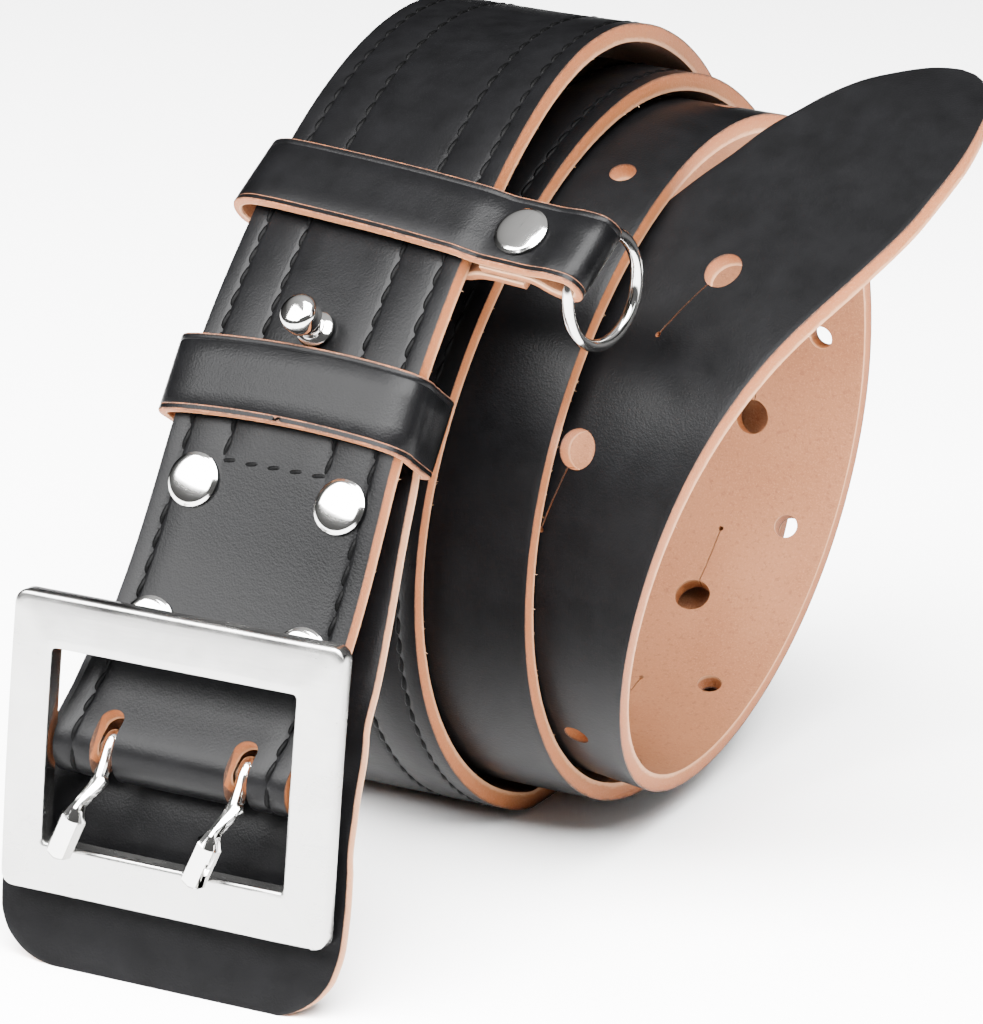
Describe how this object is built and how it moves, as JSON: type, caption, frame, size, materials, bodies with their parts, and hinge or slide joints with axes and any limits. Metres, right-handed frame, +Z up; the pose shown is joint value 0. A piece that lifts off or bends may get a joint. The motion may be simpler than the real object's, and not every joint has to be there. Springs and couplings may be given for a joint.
{
  "type": "rolled wide leather dress belt with double-prong buckle",
  "caption": "Wide black leather dress belt rolled up on its edge, with a rectangular double-prong buckle, two loops, a hanging ring, a stud and prong holes",
  "frame": {"origin": "on the floor, under the centre of the bounding box", "axes": "+Z up, +Y from the buckle end towards the back of the roll, +X along the roll's axis, towards its telescoped free end"},
  "size_m": [0.1458, 0.2336, 0.17],
  "materials": {
    "black_leather": "semi-gloss black grain outside, tan flesh side and tan cut edges",
    "loop_leather": "semi-gloss black grain outside, tan cut edges",
    "nickel_plate": "polished nickel plate"
  },
  "bodies": {
    "belt": {"strap": "black_leather", "flap": "black_leather", "buckle": "nickel_plate", "lower_loop": "loop_leather", "upper_loop": "loop_leather", "stud": "nickel_plate", "rivet_lower_left": "nickel_plate", "rivet_lower_right": "nickel_plate", "rivet_upper_left": "nickel_plate", "rivet_upper_right": "nickel_plate", "rivet_ear": "nickel_plate"},
    "left_prong": {"prong_left": "nickel_plate"},
    "right_prong": {"prong_right": "nickel_plate"},
    "hanging_ring": {"ring": "nickel_plate"}
  },
  "joints": [
    {"name": "left_prong_hinge", "type": "hinge", "parent": "belt", "child": "left_prong", "pos_m": [-0.03549, -0.10136, 0.04391], "axis": [-0.9986, -0.052, 0.0042], "range_deg": [0, 75]},
    {"name": "right_prong_hinge", "type": "hinge", "parent": "belt", "child": "right_prong", "pos_m": [-0.03549, -0.10136, 0.04391], "axis": [-0.9986, -0.052, 0.0042], "range_deg": [0, 75]},
    {"name": "ring_swing", "type": "hinge", "parent": "belt", "child": "hanging_ring", "pos_m": [0.01838, -0.04799, 0.13958], "axis": [0.1333, 0.7419, 0.6572], "range_deg": [-30, 30]}
  ]
}
